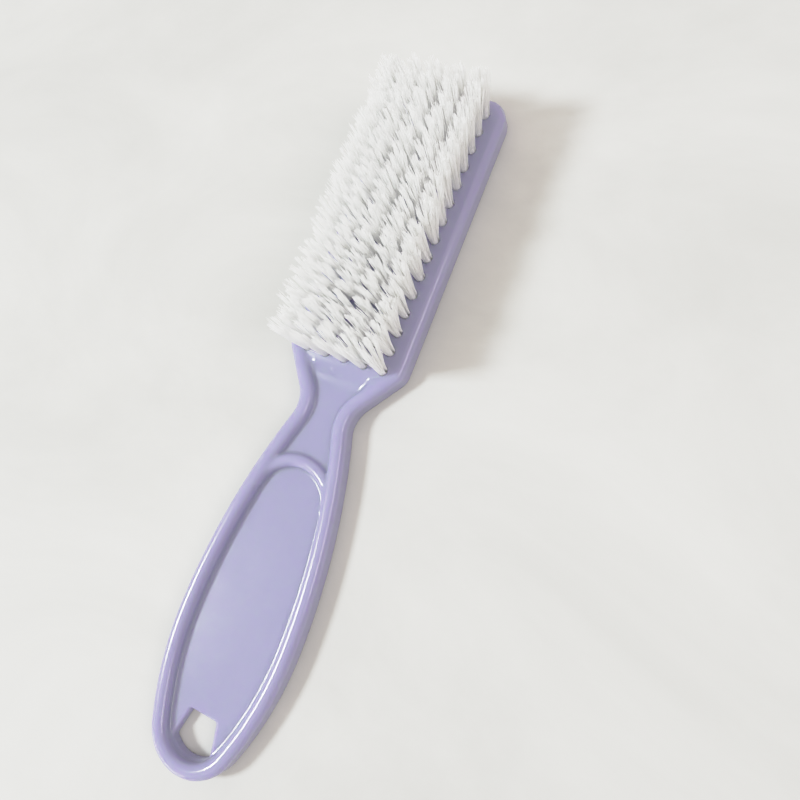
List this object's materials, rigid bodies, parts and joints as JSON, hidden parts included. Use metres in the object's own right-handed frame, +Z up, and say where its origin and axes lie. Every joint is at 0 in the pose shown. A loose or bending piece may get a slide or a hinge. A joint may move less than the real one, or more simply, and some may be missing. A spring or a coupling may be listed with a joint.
{
  "type": "acrylic nail dust brush",
  "caption": "One-piece plastic handle with thumb panel, hanging hole and flat head, set with rows of upright nylon tufts held by metal anchors.",
  "frame": {"origin": "on the flat back, under the middle of the brush's length and width", "axes": "+X along the handle towards the tip of the head, +Y across the brush, +Z up out of the back, the way the tufts point"},
  "size_m": [0.18, 0.0326, 0.0236],
  "materials": {
    "lilac_plastic": "gloss moulded",
    "nylon": "white nylon filament",
    "anchor_metal": "bare strip"
  },
  "bodies": {
    "root": {"handle": "lilac_plastic", "tuft_row_01": "nylon", "tuft_row_02": "nylon", "tuft_row_03": "nylon", "tuft_row_04": "nylon", "tuft_row_05": "nylon", "tuft_row_06": "nylon", "tuft_row_07": "nylon", "tuft_row_08": "nylon", "tuft_row_09": "nylon", "tuft_row_10": "nylon", "tuft_row_11": "nylon", "tuft_row_12": "nylon", "tuft_row_13": "nylon", "tuft_row_14": "nylon", "tuft_row_15": "nylon", "anchor_row_01": "anchor_metal", "anchor_row_02": "anchor_metal", "anchor_row_03": "anchor_metal", "anchor_row_04": "anchor_metal", "anchor_row_05": "anchor_metal", "anchor_row_06": "anchor_metal", "anchor_row_07": "anchor_metal", "anchor_row_08": "anchor_metal", "anchor_row_09": "anchor_metal", "anchor_row_10": "anchor_metal", "anchor_row_11": "anchor_metal", "anchor_row_12": "anchor_metal", "anchor_row_13": "anchor_metal", "anchor_row_14": "anchor_metal", "anchor_row_15": "anchor_metal"}
  },
  "joints": []
}
